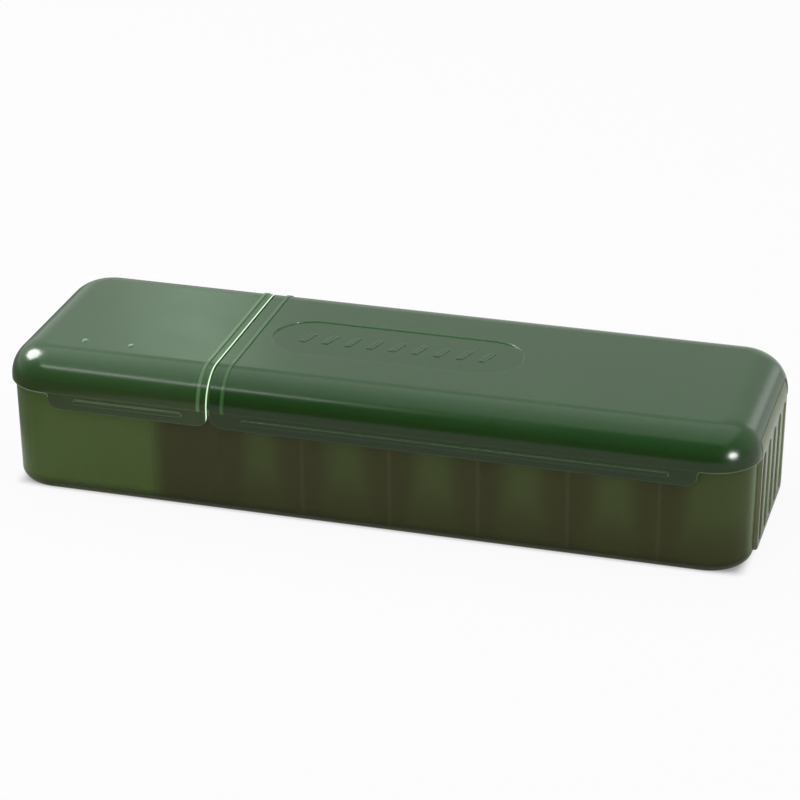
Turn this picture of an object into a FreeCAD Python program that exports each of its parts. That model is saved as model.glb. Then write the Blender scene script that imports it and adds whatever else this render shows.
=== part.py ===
import FreeCAD, Part
import math
import os
import Sketcher

# A desk box for cables: an open tray with upright partitions, closed by two flip lids
# hinged along the back. X runs along the box, the front faces -Y, Z is up, and the origin
# is on the table under the middle of the box.

SIZES = [
    ("box_length", 290.0, "length over the lids"),
    ("box_width", 92.0, "width over the lids, without the hinge"),
    ("box_height", 56.5, "table to the flat top of the lids"),
    ("rim_height", 42.0, "table to the lower edge of the lids"),
    ("lid_top_round", 13.5, "outer round between lid top and lid sides"),
    ("lid_side_band", 0.8, "least upright band left between that round and the rim"),
    ("lid_corner_round", 18.5, "lid corner seen from above"),
    ("lid_wall", 1.1, "wall of the lid sides"),
    ("lid_top_wall", 1.6, "wall of the lid tops"),
    ("lid_clearance", 0.3, "air between lid side and tray side"),
    ("rim_gap", 0.3, "air between the lids and the tray shoulder below them"),
    ("seam_place", 84.6, "left end to the seam between the lids"),
    ("seam_gap", 0.7, "air in the seam"),
    ("flap_wall", 0.9, "wall of the flaps, thinner than the lid sides to clear the catch beads"),
    ("flap_drop", 6.0, "how far the front flaps hang below the rim"),
    ("flap_end_inset", 20.4, "box end to the outer end of a flap"),
    ("flap_corner_round", 4.4, "lower corners of the flaps"),
    ("flap_step_round", 1.2, "inner round where a flap leaves the rim"),
    ("bar_height", 1.8, "raised bar on each flap"),
    ("bar_proud", 0.6, "how far the bar stands out"),
    ("bar_below_rim", 1.3, "rim to the top of the bar"),
    ("bar_end_inset", 10.4, "outer end of the flap to the bar"),
    ("short_bar_seam_inset", 10.0, "seam to the bar of the short lid"),
    ("long_bar_seam_inset", 12.8, "seam to the bar of the long lid"),
    ("catch_proud", 0.2, "how far the catch bead stands out of the tray front"),
    ("catch_height", 1.2, "height of the catch bead"),
    ("catch_inset", 8.0, "end of the bar to the end of the catch bead behind it"),
    ("catch_groove", 0.4, "depth of the groove behind the bar"),
    ("ridge_width", 1.3, "raised line beside the seam"),
    ("ridge_proud", 0.4, "how far that line stands out"),
    ("ridge_root", 0.4, "how deep that line starts inside the lid wall"),
    ("short_ridge_place", 3.9, "seam to the raised line on the short lid"),
    ("long_ridge_place", 5.5, "seam to the raised line on the long lid"),
    ("recess_length", 98.0, "shallow oval recess on the long lid"),
    ("recess_width", 31.0, "width of that recess"),
    ("recess_clearance", 5.9, "raised line to the near end of that recess"),
    ("recess_depth", 0.5, "depth of that recess"),
    ("recess_edge_round", 0.35, "soft edge of that recess"),
    ("mark_pitch", 8.8, "spacing of the slanted bars in the recess"),
    ("mark_width", 2.4, "width of a slanted bar"),
    ("mark_length", 7.6, "height of a slanted bar"),
    ("mark_slant", 2.4, "sideways lean of a slanted bar over its height"),
    ("mark_rise", 0.3, "how far a slanted bar stands above the recess floor"),
    ("pip_radius", 1.3, "small round pip on the short lid"),
    ("pip_rise", 0.5, "height of a pip"),
    ("pip_front_inset", 19.8, "lid front to the pips"),
    ("outer_pip_place", 28.8, "left end to the first pip"),
    ("inner_pip_place", 47.4, "left end to the second pip"),
    ("tray_draft", 0.7, "lean of the tray sides in degrees"),
    ("tray_wall", 1.8, "tray side wall"),
    ("tray_floor", 1.8, "tray floor"),
    ("tray_bottom_round", 4.5, "outer round under the tray"),
    ("tray_inside_round", 3.0, "inner round along the floor"),
    ("lip_wall", 1.0, "thin upper lip of the tray inside the lids"),
    ("lip_rise", 3.3, "shoulder to the top of the lip"),
    ("panel_width", 56.0, "grip panel on each end of the tray"),
    ("panel_foot", 3.0, "table to the lower edge of the grip panel"),
    ("panel_rise", 6.2, "lid rim to the top of the grip panel"),
    ("panel_root", 0.5, "overlap of the panel with the lip behind it"),
    ("panel_corner_round", 3.0, "lower corners of the grip panel"),
    ("panel_edge_round", 1.0, "outer edges of the grip panel"),
    ("notch_clearance", 0.8, "air beside the panel in the lid's end notch"),
    ("notch_gap", 0.3, "air above the panel in that notch"),
    ("notch_corner_round", 0.8, "upper corners of that notch"),
    ("groove_width", 5.4, "finger groove in the grip panel"),
    ("groove_depth", 1.0, "depth of a finger groove"),
    ("groove_pitch", 11.0, "spacing of the finger grooves"),
    ("groove_foot", 6.0, "table to the lower end of the grooves"),
    ("groove_head", 0.6, "lid rim down to the upper end of the grooves"),
    ("groove_edge_round", 0.45, "soft edges of the finger grooves"),
    ("partition_thickness", 1.2, "upright partition"),
    ("first_partition_place", 86.8, "left end to the first partition"),
    ("last_cell", 31.0, "last partition to the inside of the right end"),
    ("partition_below_lip", 1.0, "tray lip to the top of the partitions"),
    ("partition_clearance", 0.25, "air at each end of a partition"),
    ("rail_wall", 1.0, "width of one guide rail"),
    ("rail_depth", 1.6, "how far the guide rails stand in from the wall"),
    ("rail_root", 0.3, "how deep a rail starts inside the wall"),
    ("rail_below_partition", 1.5, "partition top to the top of the rails"),
    ("slot_clearance", 0.15, "air on each side of a partition in its rails"),
    ("pin_radius", 1.2, "hinge pin"),
    ("pin_clearance", 0.06, "running air round the pin in the lid knuckle"),
    ("pin_seat_clearance", 0.02, "air round the pin where the tray ears hold it"),
    ("pin_end_inset", 0.4, "ear face to the end of the pin"),
    ("knuckle_wall", 1.5, "wall round the hinge pin"),
    ("knuckle_width", 10.0, "lid knuckle along the pin"),
    ("ear_width", 4.0, "one tray ear along the pin"),
    ("ear_gap", 0.3, "air between knuckle and ear"),
    ("hinge_drop", 2.7, "lid rim down to the hinge axis"),
    ("hinge_gap", 0.3, "air between the knuckles and the tray's back wall"),
    ("knuckle_reach", 2.6, "rim to where a knuckle joins the lid's back"),
    ("ear_depth", 7.5, "tray shoulder to the foot of an ear"),
    ("open_angle", 110.0, "degrees that a lid swings before its heel stops it"),
    ("heel_drop", 2.0, "hinge axis down to where the heel meets the wall when open"),
    ("heel_gap", 0.3, "air left at the heel when open"),
    ("short_station_inset", 31.0, "left end to the outer hinge of the short lid"),
    ("short_station_seam_inset", 13.6, "seam to the inner hinge of the short lid"),
    ("long_station_inset", 33.0, "right end to the outer hinge of the long lid"),
    ("long_station_seam_inset", 16.4, "seam to the inner hinge of the long lid"),
]
GROOVE_COUNT = 5
MARK_COUNT = 9
PARTITION_COUNT = 6
SHORT_STATION_COUNT = 2
LONG_STATION_COUNT = 3


class Size:
    """A length known as a number and as the sheet expression that drives it."""

    def __init__(self, number, text):
        self.number = float(number)
        self.text = text

    def __neg__(self):
        return Size(-self.number, "(-" + self.text + ")")

    def __add__(self, other):
        other = as_size(other)
        return Size(self.number + other.number, "(" + self.text + " + " + other.text + ")")

    def __radd__(self, other):
        return as_size(other) + self

    def __sub__(self, other):
        other = as_size(other)
        return Size(self.number - other.number, "(" + self.text + " - " + other.text + ")")

    def __rsub__(self, other):
        return as_size(other) - self

    def __mul__(self, other):
        other = as_size(other)
        return Size(self.number * other.number, "(" + self.text + " * " + other.text + ")")

    def __rmul__(self, other):
        return as_size(other) * self

    def __truediv__(self, other):
        other = as_size(other)
        return Size(self.number / other.number, "(" + self.text + " / " + other.text + ")")


def as_size(value):
    """Take a plain number as a Size."""
    if isinstance(value, Size):
        return value
    return Size(value, repr(float(value)))


def root(size):
    """Square root of a Size."""
    return Size(math.sqrt(size.number), "sqrt(" + size.text + ")")


def least(first, second):
    """The smaller of two Sizes."""
    return Size(min(first.number, second.number), "min(" + first.text + "; " + second.text + ")")


def sine(angle):
    """Sine of an angle in degrees."""
    return Size(math.sin(math.radians(angle.number)), "sin(" + angle.text + ")")


def cosine(angle):
    """Cosine of an angle in degrees."""
    return Size(math.cos(math.radians(angle.number)), "cos(" + angle.text + ")")


def tangent(angle):
    """Tangent of an angle in degrees."""
    return Size(math.tan(math.radians(angle.number)), "tan(" + angle.text + ")")


def fill_sheet(doc):
    """Write the driving sizes to a spreadsheet and return them by name."""
    sheet = doc.addObject("Spreadsheet::Sheet", "Sizes")
    sizes = {}
    for row, (alias, value, note) in enumerate(SIZES, start=1):
        sheet.set("A" + str(row), note)
        sheet.set("B" + str(row), str(value))
        sheet.setAlias("B" + str(row), alias)
        sizes[alias] = Size(value, "Sizes." + alias)
    doc.recompute()
    return sizes


doc = FreeCAD.newDocument("CableOrganizerBox")
S = fill_sheet(doc)
ZERO = as_size(0)
DIAGONAL = math.cos(math.pi / 4)

# Outer faces of the closed box.
HALF_LENGTH = S["box_length"] / 2
HALF_WIDTH = S["box_width"] / 2
SEAM_X = S["seam_place"] - HALF_LENGTH
SHORT_LID_END = SEAM_X - S["seam_gap"] / 2
LONG_LID_END = SEAM_X + S["seam_gap"] / 2
LID_HEIGHT = S["box_height"] - S["rim_height"]
TOP_ROUND = least(S["lid_top_round"], LID_HEIGHT - S["lid_side_band"])
ROUND_START = S["box_height"] - TOP_ROUND

# The tray stands inside the lids' outline by the lid wall and its air.
RECESS = S["lid_wall"] + S["lid_clearance"]
SHOULDER = S["rim_height"] - S["rim_gap"]
LIP_TOP = SHOULDER + S["lip_rise"]
TRAY_HALF_LENGTH = HALF_LENGTH - RECESS
TRAY_HALF_WIDTH = HALF_WIDTH - RECESS
TRAY_CORNER = S["lid_corner_round"] - RECESS
LEAN = tangent(S["tray_draft"])
FLOOR_INSET = (SHOULDER - S["tray_floor"]) * LEAN
INSIDE_HALF_LENGTH = TRAY_HALF_LENGTH - S["tray_wall"]
INSIDE_HALF_WIDTH = TRAY_HALF_WIDTH - S["tray_wall"]
INSIDE_CORNER = TRAY_CORNER - S["tray_wall"]
LIP_STEP = S["tray_wall"] - S["lip_wall"]

# Partitions and their rails.
PARTITION_TOP = LIP_TOP - S["partition_below_lip"]
RAIL_TOP = PARTITION_TOP - S["rail_below_partition"]
FIRST_PARTITION_X = S["first_partition_place"] - HALF_LENGTH
PARTITION_ROW = INSIDE_HALF_LENGTH - S["last_cell"] - FIRST_PARTITION_X
PARTITION_PITCH = PARTITION_ROW / (PARTITION_COUNT - 1)

# Hinge line behind the tray's back wall.
KNUCKLE_RADIUS = S["pin_radius"] + S["knuckle_wall"]
HINGE_Z = S["rim_height"] - S["hinge_drop"]
HINGE_Y = TRAY_HALF_WIDTH + S["hinge_gap"] + KNUCKLE_RADIUS
STATION_LENGTH = S["knuckle_width"] + 2 * (S["ear_gap"] + S["ear_width"])
SHORT_STATION_X = S["short_station_inset"] - HALF_LENGTH
LONG_STATION_X = SEAM_X + S["long_station_seam_inset"]
# First station, length of the row and number of stations, by lid.
STATIONS = {
    "short": (SHORT_STATION_X, SEAM_X - S["short_station_seam_inset"] - SHORT_STATION_X, SHORT_STATION_COUNT),
    "long": (LONG_STATION_X, HALF_LENGTH - S["long_station_inset"] - LONG_STATION_X, LONG_STATION_COUNT),
}

# The raised bar on each flap, with the catch behind it.
BAR_TOP = S["rim_height"] - S["bar_below_rim"]
BAR_MIDDLE = BAR_TOP - S["bar_height"] / 2
SHORT_FLAP_START = S["flap_end_inset"] - HALF_LENGTH
LONG_FLAP_END = HALF_LENGTH - S["flap_end_inset"]
SHORT_BAR = (SHORT_FLAP_START + S["bar_end_inset"], SHORT_LID_END - S["short_bar_seam_inset"])
LONG_BAR = (LONG_LID_END + S["long_bar_seam_inset"], LONG_FLAP_END - S["bar_end_inset"])


def bind(feature, name, size):
    """Drive one property of a feature from the sheet."""
    feature.setExpression(name, as_size(size).text)


def new_body(label):
    """Start a sub-part."""
    body = doc.addObject("PartDesign::Body", label)
    body.Label = label
    return body


def sketch_on(body, role, name, offset=ZERO):
    """Put an empty sketch on one of the body's own origin planes, moved along its normal."""
    sketch = body.newObject("Sketcher::SketchObject", name)
    plane = [item for item in body.Origin.OriginFeatures if item.Role == role][0]
    sketch.AttachmentSupport = [(plane, "")]
    sketch.MapMode = "FlatFace"
    bind(sketch, "AttachmentOffset.Base.z", offset)
    return sketch


def arc_between(start, end, radius, turn):
    """Return the short arc from start to end; turn is 1 counter-clockwise, -1 clockwise."""
    chord = end - start
    middle = start + chord * 0.5
    left = FreeCAD.Vector(-chord.y, chord.x, 0).normalize()
    rise = math.sqrt(max(radius ** 2 - (chord.Length / 2) ** 2, 0.0))
    centre = middle + left * (turn * rise)
    circle = Part.Circle(centre, FreeCAD.Vector(0, 0, 1), radius)
    first, last = (start, end) if turn > 0 else (end, start)
    return Part.ArcOfCircle(circle, circle.parameter(first), circle.parameter(last))


def drive_point(sketch, side, position, across, up):
    """Hold one point of the sketch at two driven distances from its origin."""
    for kind, axis, value in (("DistanceX", -2, across), ("DistanceY", -1, up)):
        if abs(value.number) < 1e-9:
            sketch.addConstraint(Sketcher.Constraint("PointOnObject", side, position, axis))
            continue
        index = sketch.addConstraint(Sketcher.Constraint(kind, -1, 1, side, position, value.number))
        sketch.setExpression("Constraints[" + str(index) + "]", value.text)


def outline(sketch, corners, bends=None):
    """Draw a closed chain of lines and arcs through driven corners.

    corners lists (across, up) sizes; bends maps the number of a side, which runs from the
    corner of that number to the next, to its (radius, turn).
    """
    bends = bends or {}
    corners = [(as_size(across), as_size(up)) for across, up in corners]
    points = [FreeCAD.Vector(across.number, up.number, 0) for across, up in corners]
    sides = []
    starts = []
    ends = []
    for number, start in enumerate(points):
        end = points[(number + 1) % len(points)]
        if number in bends:
            radius, turn = bends[number]
            sides.append(sketch.addGeometry(arc_between(start, end, radius.number, turn), False))
            starts.append(1 if turn > 0 else 2)
            ends.append(2 if turn > 0 else 1)
        else:
            sides.append(sketch.addGeometry(Part.LineSegment(start, end), False))
            starts.append(1)
            ends.append(2)
    for number, (across, up) in enumerate(corners):
        before = number - 1
        joint = Sketcher.Constraint("Coincident", sides[before], ends[before], sides[number], starts[number])
        sketch.addConstraint(joint)
        drive_point(sketch, sides[number], starts[number], across, up)
    for number, (radius, turn) in bends.items():
        index = sketch.addConstraint(Sketcher.Constraint("Radius", sides[number], radius.number))
        sketch.setExpression("Constraints[" + str(index) + "]", radius.text)


def circle(sketch, across, up, radius):
    """Draw a circle about a driven centre."""
    centre = FreeCAD.Vector(across.number, up.number, 0)
    ring = sketch.addGeometry(Part.Circle(centre, FreeCAD.Vector(0, 0, 1), radius.number), False)
    drive_point(sketch, ring, 3, across, up)
    index = sketch.addConstraint(Sketcher.Constraint("Radius", ring, radius.number))
    sketch.setExpression("Constraints[" + str(index) + "]", radius.text)


def rounded_rectangle(sketch, half_across, half_up, radius):
    """Draw a rectangle about the sketch's origin with quarter-round corners."""
    flat_x = half_across - radius
    flat_y = half_up - radius
    corners = [
        (-flat_x, -half_up), (flat_x, -half_up), (half_across, -flat_y), (half_across, flat_y),
        (flat_x, half_up), (-flat_x, half_up), (-half_across, flat_y), (-half_across, -flat_y),
    ]
    outline(sketch, corners, {side: (radius, 1) for side in (1, 3, 5, 7)})


def slot(sketch, left, right, middle, half_height):
    """Draw a slot with round ends between two sizes along the sketch's first axis."""
    corners = [
        (left + half_height, middle - half_height), (right - half_height, middle - half_height),
        (right, middle), (right - half_height, middle + half_height),
        (left + half_height, middle + half_height), (left, middle),
    ]
    outline(sketch, corners, {side: (half_height, 1) for side in (1, 2, 4, 5)})


def pad(body, sketch, name, length, reverse=False, both=False):
    """Raise a sketch into material."""
    feature = body.newObject("PartDesign::Pad", name)
    feature.Profile = sketch
    bind(feature, "Length", length)
    feature.Reversed = reverse
    feature.Midplane = both
    sketch.Visibility = False
    return feature


def pocket(body, sketch, name, length, reverse=False, both=False):
    """Sink a sketch into the body and make sure that it really cuts."""
    doc.recompute()
    before = body.Shape.Volume
    feature = body.newObject("PartDesign::Pocket", name)
    feature.Profile = sketch
    bind(feature, "Length", length)
    feature.Reversed = reverse
    feature.Midplane = both
    doc.recompute()
    if not feature.Shape.Volume < before:
        raise RuntimeError(name + " cuts nothing")
    return feature


def round_edges(body, name, radius, test):
    """Round the edges of the body that pass the test."""
    doc.recompute()
    base = body.Tip
    chosen = ["Edge" + str(number) for number, edge in enumerate(base.Shape.Edges, 1) if test(edge)]
    if not chosen:
        raise RuntimeError(name + " finds no edge")
    feature = body.newObject("PartDesign::Fillet", name)
    feature.Base = (base, chosen)
    bind(feature, "Radius", radius)
    doc.recompute()
    return feature


def repeat(body, features, name, direction, length, count):
    """Repeat features of the body along one of its axes, over a total length."""
    doc.recompute()
    feature = body.newObject("PartDesign::LinearPattern", name)
    feature.Originals = features
    axis = [item for item in body.Origin.OriginFeatures if item.Role == direction][0]
    feature.Direction = (axis, [""])
    bind(feature, "Length", length)
    feature.Occurrences = count
    body.Tip = feature
    doc.recompute()
    return feature


def level(edge, height, slack=1e-4):
    """Tell whether an edge lies wholly at one height."""
    box = edge.BoundBox
    return abs(box.ZMin - height) < slack and abs(box.ZMax - height) < slack


def beyond(edge, place, inward):
    """Tell whether an edge reaches out of a plane near one end of the box, or lies wholly outside it."""
    box = edge.BoundBox
    near, far = sorted((abs(box.XMin), abs(box.XMax)))
    return far > place + 1e-3 and (inward or near > place + 1e-3)


# The tray.

def tray_shell(body):
    """Leaning outer walls with a round foot, and a thin lip above the shoulder."""
    walls = sketch_on(body, "XY_Plane", "tray_outline", SHOULDER)
    rounded_rectangle(walls, TRAY_HALF_LENGTH, TRAY_HALF_WIDTH, TRAY_CORNER)
    shell = pad(body, walls, "tray_walls", SHOULDER, reverse=True)
    bind(shell, "TaperAngle", -S["tray_draft"])
    round_edges(body, "tray_foot", S["tray_bottom_round"], lambda edge: level(edge, 0))
    lip = sketch_on(body, "XY_Plane", "lip_outline", SHOULDER)
    rounded_rectangle(lip, TRAY_HALF_LENGTH - LIP_STEP, TRAY_HALF_WIDTH - LIP_STEP, TRAY_CORNER - LIP_STEP)
    pad(body, lip, "tray_lip", S["lip_rise"])


def tray_hollow(body):
    """The inside of the tray: straight through the lip, then leaning like the walls."""
    lip = sketch_on(body, "XY_Plane", "lip_hollow_outline", SHOULDER)
    rounded_rectangle(lip, INSIDE_HALF_LENGTH, INSIDE_HALF_WIDTH, INSIDE_CORNER)
    pocket(body, lip, "lip_hollow", S["lip_rise"], reverse=True)
    inside = sketch_on(body, "XY_Plane", "tray_hollow_outline", SHOULDER)
    rounded_rectangle(inside, INSIDE_HALF_LENGTH, INSIDE_HALF_WIDTH, INSIDE_CORNER)
    hollow = pocket(body, inside, "tray_hollow", SHOULDER - S["tray_floor"])
    bind(hollow, "TaperAngle", -S["tray_draft"])
    floor = S["tray_floor"].number
    round_edges(body, "floor_round", S["tray_inside_round"], lambda edge: level(edge, floor))


def tray_rails(body):
    """Pairs of guide rails on the front and back walls that hold the partitions."""
    inner = INSIDE_HALF_WIDTH - FLOOR_INSET - S["rail_depth"]
    foot = S["tray_floor"] - S["rail_root"]
    at_foot = INSIDE_HALF_WIDTH - FLOOR_INSET + S["rail_root"]
    at_top = INSIDE_HALF_WIDTH - (SHOULDER - RAIL_TOP) * LEAN + S["rail_root"]
    half_slot = S["partition_thickness"] / 2 + S["slot_clearance"]
    places = {"left": FIRST_PARTITION_X - half_slot - S["rail_wall"], "right": FIRST_PARTITION_X + half_slot}
    rails = []
    for name, place in places.items():
        for side, sign in (("front", -1), ("back", 1)):
            profile = sketch_on(body, "YZ_Plane", side + "_" + name + "_rail_outline", place)
            outline(profile, [
                (sign * inner, foot), (sign * at_foot, foot + S["rail_depth"] + S["rail_root"]),
                (sign * at_top, RAIL_TOP), (sign * inner, RAIL_TOP),
            ])
            rails.append(pad(body, profile, side + "_" + name + "_rail", S["rail_wall"]))
    repeat(body, rails, "rails", "X_Axis", PARTITION_ROW, PARTITION_COUNT)


def grip_panels(body):
    """A raised panel on each end, flush with the lids and following their round at its top."""
    top = S["rim_height"] + S["panel_rise"]
    above = top - ROUND_START
    top_x = HALF_LENGTH - TOP_ROUND + root(TOP_ROUND * TOP_ROUND - above * above)
    foot_x = HALF_LENGTH - (S["rim_height"] - S["panel_foot"]) * LEAN
    inner_x = TRAY_HALF_LENGTH - LIP_STEP - S["panel_root"]
    for name, sign in (("left", -1), ("right", 1)):
        profile = sketch_on(body, "XZ_Plane", name + "_panel_outline")
        outline(profile, [
            (sign * inner_x, S["panel_foot"]), (sign * foot_x, S["panel_foot"]),
            (sign * HALF_LENGTH, S["rim_height"]), (sign * HALF_LENGTH, ROUND_START),
            (sign * top_x, top), (sign * inner_x, top),
        ], {3: (TOP_ROUND, sign)})
        pad(body, profile, name + "_panel", S["panel_width"], both=True)
    half_width = (S["panel_width"] / 2).number
    wall = TRAY_HALF_LENGTH.number

    def lower_corner(edge):
        return level(edge, S["panel_foot"].number) and edge.BoundBox.YLength < 1e-4 and beyond(edge, wall, 1)

    def outer_edge(edge):
        box = edge.BoundBox
        across = max(abs(box.YMin), abs(box.YMax)) < half_width + 1e-3
        along = level(edge, S["panel_foot"].number) or box.ZLength > 1e-3
        return across and along and beyond(edge, wall, 0)

    round_edges(body, "panel_corners", S["panel_corner_round"], lower_corner)
    round_edges(body, "panel_edges", S["panel_edge_round"], outer_edge)


def grip_grooves(body):
    """Upright finger grooves with round ends in both grip panels."""
    half_width = S["groove_width"] / 2
    first = -(GROOVE_COUNT - 1) / 2 * S["groove_pitch"]
    for name, sign in (("left", -1), ("right", 1)):
        face = sketch_on(body, "YZ_Plane", name + "_groove_outline", sign * HALF_LENGTH)
        low = S["groove_foot"]
        high = S["rim_height"] - S["groove_head"]
        corners = [
            (first + half_width, low + half_width), (first + half_width, high - half_width), (first, high),
            (first - half_width, high - half_width), (first - half_width, low + half_width), (first, low),
        ]
        outline(face, corners, {side: (half_width, 1) for side in (1, 2, 4, 5)})
        groove = pocket(body, face, name + "_groove", S["groove_depth"], reverse=sign < 0)
        length = (GROOVE_COUNT - 1) * S["groove_pitch"]
        repeat(body, [groove], name + "_grooves", "Y_Axis", length, GROOVE_COUNT)
    floor = (HALF_LENGTH - S["groove_depth"]).number
    round_edges(
        body, "groove_edges", S["groove_edge_round"],
        lambda edge: beyond(edge, floor, 0) and edge.BoundBox.YLength < S["groove_width"].number + 1e-3
        and abs(edge.BoundBox.Center.y) < length.number / 2 + half_width.number,
    )


def catch_beads(body):
    """Two low beads on the tray front that the flaps' grooves click over."""
    behind = TRAY_HALF_WIDTH - S["tray_wall"] / 2
    proud = TRAY_HALF_WIDTH + S["catch_proud"]
    for name, (left, right) in (("short", SHORT_BAR), ("long", LONG_BAR)):
        bead = sketch_on(body, "XZ_Plane", name + "_bead_outline", behind)
        slot(bead, left + S["catch_inset"], right - S["catch_inset"], BAR_MIDDLE, S["catch_height"] / 2)
        pad(body, bead, name + "_bead", proud - behind)


def hinge_ears(body):
    """Two ears at each station, webbed to the tray's back wall, that hold the pin."""
    wall = TRAY_HALF_WIDTH - S["tray_wall"] / 2
    radius = KNUCKLE_RADIUS
    slant = radius * DIAGONAL
    ear_middle = S["knuckle_width"] / 2 + S["ear_gap"] + S["ear_width"] / 2
    for lid, (first, row, count) in STATIONS.items():
        ears = []
        for side, sign in (("left", -1), ("right", 1)):
            name = lid + "_" + side + "_ear"
            profile = sketch_on(body, "YZ_Plane", name + "_outline", first + sign * ear_middle)
            outline(profile, [
                (wall, SHOULDER - S["ear_depth"]), (HINGE_Y, HINGE_Z - radius),
                (HINGE_Y + radius, HINGE_Z), (HINGE_Y, HINGE_Z + radius),
                (HINGE_Y - slant, HINGE_Z + slant), (wall, HINGE_Z + slant),
            ], {1: (radius, 1), 2: (radius, 1), 3: (radius, 1)})
            circle(profile, HINGE_Y, HINGE_Z, S["pin_radius"] + S["pin_seat_clearance"])
            ears.append(pad(body, profile, name, S["ear_width"], both=True))
        repeat(body, ears, lid + "_ears", "X_Axis", row, count)


def make_tray():
    """The open tray with its rails, grip panels, catch beads and hinge ears."""
    body = new_body("tray")
    tray_shell(body)
    tray_hollow(body)
    grip_panels(body)
    tray_rails(body)
    grip_grooves(body)
    catch_beads(body)
    hinge_ears(body)
    return body


# The lids.

def lid_outline(sketch, seam_x, sign, inset):
    """Draw a lid seen from above: square at the seam, round at the end of the box."""
    end = HALF_LENGTH - inset
    side = HALF_WIDTH - inset
    corner = S["lid_corner_round"] - inset
    outline(sketch, [
        (seam_x, -side), (sign * (end - corner), -side), (sign * end, corner - side),
        (sign * end, side - corner), (sign * (end - corner), side), (seam_x, side),
    ], {1: (corner, sign), 3: (corner, sign)})


def lid_shell(body, seam_x, sign):
    """The rounded cap, hollow below and open at the seam."""
    def off_the_seam(edge):
        box = edge.BoundBox
        return box.XLength > 1e-4 or abs(box.XMin - seam_x.number) > 1e-4

    top = S["box_height"].number
    ceiling = S["box_height"] - S["lid_top_wall"]
    cap = sketch_on(body, "XY_Plane", "cap_outline", S["rim_height"])
    lid_outline(cap, seam_x, sign, ZERO)
    pad(body, cap, "cap", LID_HEIGHT)
    inside = sketch_on(body, "XY_Plane", "cap_hollow_outline", S["rim_height"])
    lid_outline(inside, seam_x - sign * S["lid_wall"], sign, S["lid_wall"])
    pocket(body, inside, "cap_hollow", ceiling - S["rim_height"], reverse=True)
    inner_round = least(TOP_ROUND - S["lid_wall"], LID_HEIGHT - S["lid_top_wall"] - S["lid_side_band"] / 4)
    round_edges(
        body, "ceiling_round", inner_round,
        lambda edge: level(edge, ceiling.number) and off_the_seam(edge),
    )
    round_edges(body, "cap_round", TOP_ROUND, lambda edge: level(edge, top) and off_the_seam(edge))


def end_notch(body, sign):
    """Open the lid's end wall for the tray's grip panel."""
    half = S["panel_width"] / 2 + S["notch_clearance"]
    top = S["rim_height"] + S["panel_rise"] + S["notch_gap"]
    corner = S["notch_corner_round"]
    face = sketch_on(body, "YZ_Plane", "notch_outline", sign * HALF_LENGTH)
    outline(face, [
        (-half, S["rim_height"] - corner), (half, S["rim_height"] - corner), (half, top - corner),
        (half - corner, top), (corner - half, top), (-half, top - corner),
    ], {2: (corner, 1), 4: (corner, 1)})
    pocket(body, face, "notch", TOP_ROUND, reverse=sign < 0)


def front_flap(body, seam_x, outer_x, bar, sign):
    """The flap over the tray front, with its raised bar and the groove behind it."""
    low = S["rim_height"] - S["flap_drop"]
    corner = S["flap_corner_round"]
    step = S["flap_step_round"]
    high = S["rim_height"] + S["lid_side_band"] / 2
    face = sketch_on(body, "XZ_Plane", "flap_outline", HALF_WIDTH)
    outline(face, [
        (seam_x + sign * corner, low), (outer_x - sign * corner, low), (outer_x, low + corner),
        (outer_x, S["rim_height"] - step), (outer_x + sign * step, S["rim_height"]),
        (outer_x + sign * step, high), (seam_x, high), (seam_x, low + corner),
    ], {1: (corner, sign), 3: (step, -sign), 7: (corner, sign)})
    pad(body, face, "flap", S["flap_wall"], reverse=True)
    left, right = bar
    raised = sketch_on(body, "XZ_Plane", "bar_outline", HALF_WIDTH - S["flap_wall"] / 2)
    slot(raised, left, right, BAR_MIDDLE, S["bar_height"] / 2)
    pad(body, raised, "bar", S["flap_wall"] / 2 + S["bar_proud"])
    groove = sketch_on(body, "XZ_Plane", "catch_groove_outline", HALF_WIDTH - S["flap_wall"])
    slot(groove, left, right, BAR_MIDDLE, S["bar_height"] / 2)
    pocket(body, groove, "catch_groove", S["catch_groove"], reverse=True)


def seam_ridge(body, place):
    """A raised line beside the seam, over the lid from back to front."""
    outer = TOP_ROUND + S["ridge_proud"]
    inner = TOP_ROUND - S["ridge_root"]
    flat = HALF_WIDTH - TOP_ROUND
    crown = S["box_height"] + S["ridge_proud"]
    under = S["box_height"] - S["ridge_root"]
    profile = sketch_on(body, "YZ_Plane", "ridge_outline", place)
    outline(profile, [
        (flat + outer, ROUND_START), (flat, crown), (-flat, crown), (-(flat + outer), ROUND_START),
        (-(flat + inner), ROUND_START), (-flat, under), (flat, under), (flat + inner, ROUND_START),
    ], {0: (outer, 1), 2: (outer, 1), 4: (inner, -1), 6: (inner, -1)})
    pad(body, profile, "ridge", S["ridge_width"], both=True)


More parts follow.
